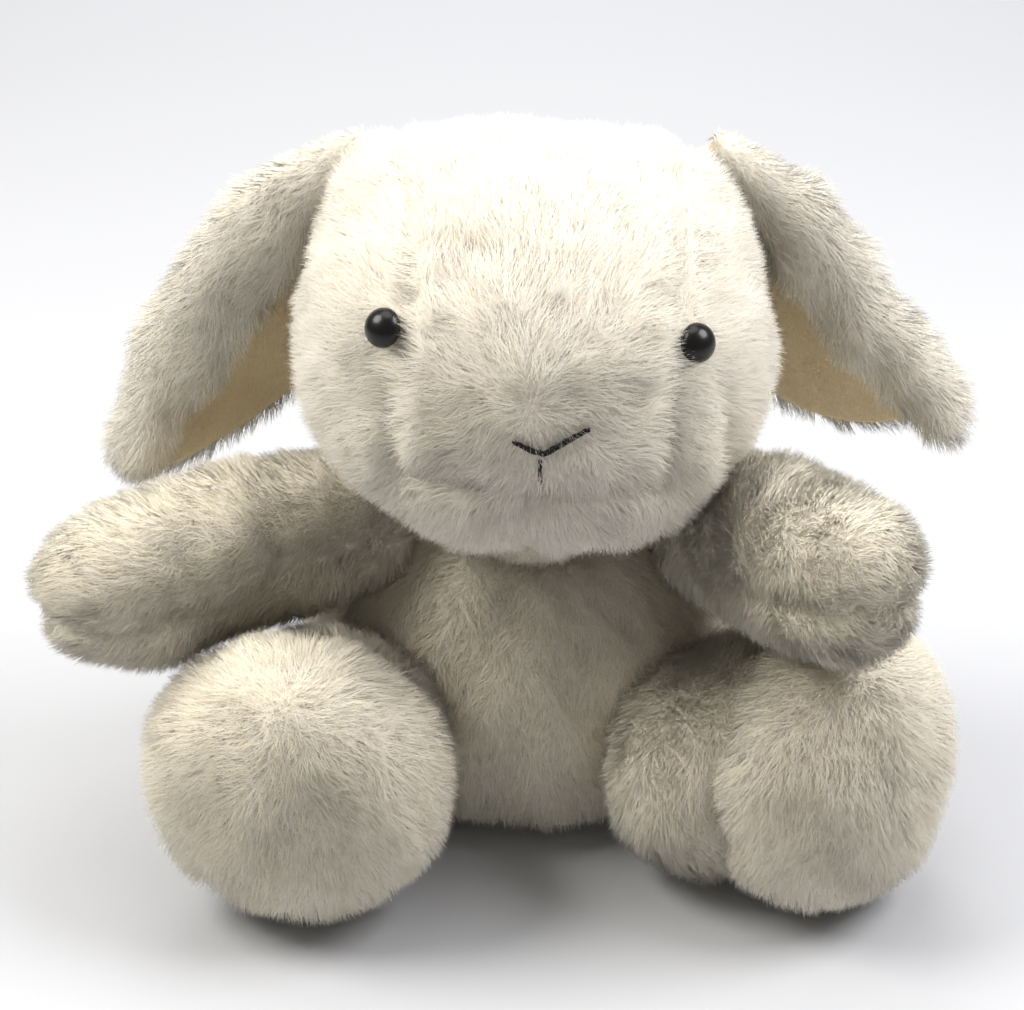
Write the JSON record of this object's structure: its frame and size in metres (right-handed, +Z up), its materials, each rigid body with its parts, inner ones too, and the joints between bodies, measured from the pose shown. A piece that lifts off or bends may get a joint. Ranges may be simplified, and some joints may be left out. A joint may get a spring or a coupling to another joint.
{
  "type": "stuffed rabbit toy",
  "caption": "Seated lop-eared plush rabbit in long cream pile, with stuffed limbs that swing, a head that turns and nods, and hanging lined ears.",
  "frame": {"origin": "middle of the flat seat under the body, on the surface that the toy sits on", "axes": "+Z up, the face looks along -Y, the toy's own right side is at -X"},
  "size_m": [0.2794, 0.208, 0.222],
  "materials": {
    "cream_plush": "dense soft pile of 6 to 9 mm on a knitted backing",
    "ear_lining": "short golden beige pile",
    "fibre_filling": "loose polyester fibre",
    "pellet_bag": "plain woven bag of plastic pellets",
    "black_eye": "domed and glossy",
    "washer_plastic": "moulded",
    "dark_thread": "twisted embroidery thread"
  },
  "bodies": {
    "torso": {"body_front_panel": "cream_plush", "body_back_panel": "cream_plush", "body_base_panel": "cream_plush", "body_stuffing": "fibre_filling", "seat_pellet_bag": "pellet_bag", "tail_skin": "cream_plush", "tail_stuffing": "fibre_filling"},
    "neck": {"neck_stuffing": "fibre_filling"},
    "head": {"head_forehead_panel": "cream_plush", "head_cheek_panel_right": "cream_plush", "head_cheek_panel_left": "cream_plush", "head_stuffing": "fibre_filling", "eye_right": "black_eye", "eye_left": "black_eye", "eye_washer_right": "washer_plastic", "eye_washer_left": "washer_plastic", "nose_stitch": "dark_thread", "mouth_stitch": "dark_thread"},
    "ear_right": {"ear_outer_right": "cream_plush", "ear_lining_right": "ear_lining"},
    "arm_right": {"arm_upper_panel_right": "cream_plush", "arm_under_panel_right": "cream_plush", "arm_stuffing_right": "fibre_filling"},
    "leg_right": {"leg_panel_right": "cream_plush", "foot_sole_panel_right": "cream_plush", "leg_stuffing_right": "fibre_filling"},
    "ear_left": {"ear_outer_left": "cream_plush", "ear_lining_left": "ear_lining"},
    "arm_left": {"arm_upper_panel_left": "cream_plush", "arm_under_panel_left": "cream_plush", "arm_stuffing_left": "fibre_filling"},
    "leg_left": {"leg_panel_left": "cream_plush", "foot_sole_panel_left": "cream_plush", "leg_stuffing_left": "fibre_filling"}
  },
  "joints": [
    {"name": "head_turn", "type": "hinge", "parent": "torso", "child": "neck", "pos_m": [0, -0.016, 0.105], "axis": [0, 0, 1], "range_deg": [-18, 12]},
    {"name": "head_nod", "type": "hinge", "parent": "neck", "child": "head", "pos_m": [0, -0.016, 0.105], "axis": [1, 0, 0], "range_deg": [-12, 6]},
    {"name": "ear_lift_right", "type": "hinge", "parent": "head", "child": "ear_right", "pos_m": [-0.052, 0.004, 0.21707], "axis": [-0.4182, 0.8763, -0.239], "range_deg": [0, 50]},
    {"name": "ear_lift_left", "type": "hinge", "parent": "head", "child": "ear_left", "pos_m": [0.05504, 0.00456, 0.21908], "axis": [-0.1013, -0.993, -0.0608], "range_deg": [0, 50]},
    {"name": "arm_swing_right", "type": "hinge", "parent": "torso", "child": "arm_right", "pos_m": [-0.05, -0.013, 0.093], "axis": [-0.2493, 0.4686, 0.8475], "range_deg": [-10, 35]},
    {"name": "arm_swing_left", "type": "hinge", "parent": "torso", "child": "arm_left", "pos_m": [0.05, -0.013, 0.093], "axis": [-0.342, 0.0905, 0.9353], "range_deg": [0, 38]},
    {"name": "leg_swing_right", "type": "hinge", "parent": "torso", "child": "leg_right", "pos_m": [-0.051, -0.027, 0.036], "axis": [0, 0, 1], "range_deg": [0, 12]},
    {"name": "leg_swing_left", "type": "hinge", "parent": "torso", "child": "leg_left", "pos_m": [0.051, -0.027, 0.036], "axis": [0, 0, -1], "range_deg": [0, 12]}
  ]
}
